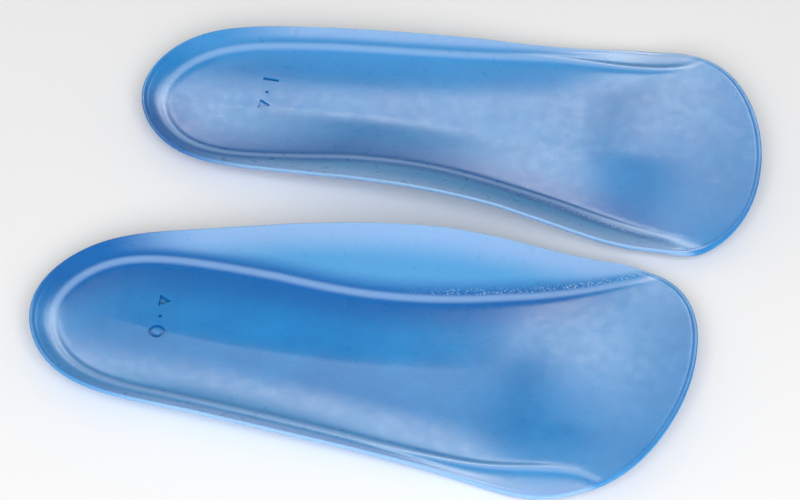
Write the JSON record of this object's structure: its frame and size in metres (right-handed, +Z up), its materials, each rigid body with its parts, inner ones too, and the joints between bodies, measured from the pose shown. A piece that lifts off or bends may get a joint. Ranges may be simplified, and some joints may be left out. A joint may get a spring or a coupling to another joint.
{
  "type": "cushioned insole pair",
  "caption": "Left and right three-quarter-length gel insoles with a dished bed, raised ridge, flared rim and arch flange; softer cushions and a firmer arch core sit flush underneath.",
  "frame": {"origin": "on the floor, under the centre of the box round both insoles", "axes": "+X from the heels to the toes, +Y from the right insole to the left one, +Z up"},
  "size_m": [0.1911, 0.1722, 0.0161],
  "materials": {
    "gel": "satin translucent blue silicone gel",
    "soft_gel": "soft paler blue silicone gel",
    "firm_gel": "firmer deep blue silicone gel"
  },
  "bodies": {
    "left_insole": {"left_gel_body": "gel", "left_heel_cushion": "soft_gel", "left_metatarsal_cushion": "soft_gel", "left_arch_core": "firm_gel"},
    "right_insole": {"right_gel_body": "gel", "right_heel_cushion": "soft_gel", "right_metatarsal_cushion": "soft_gel", "right_arch_core": "firm_gel"}
  },
  "joints": [
    {"name": "right_insole_lift", "type": "slide", "parent": "left_insole", "child": "right_insole", "axis": [0, 0, 1], "range_m": [0, 0.08]}
  ]
}
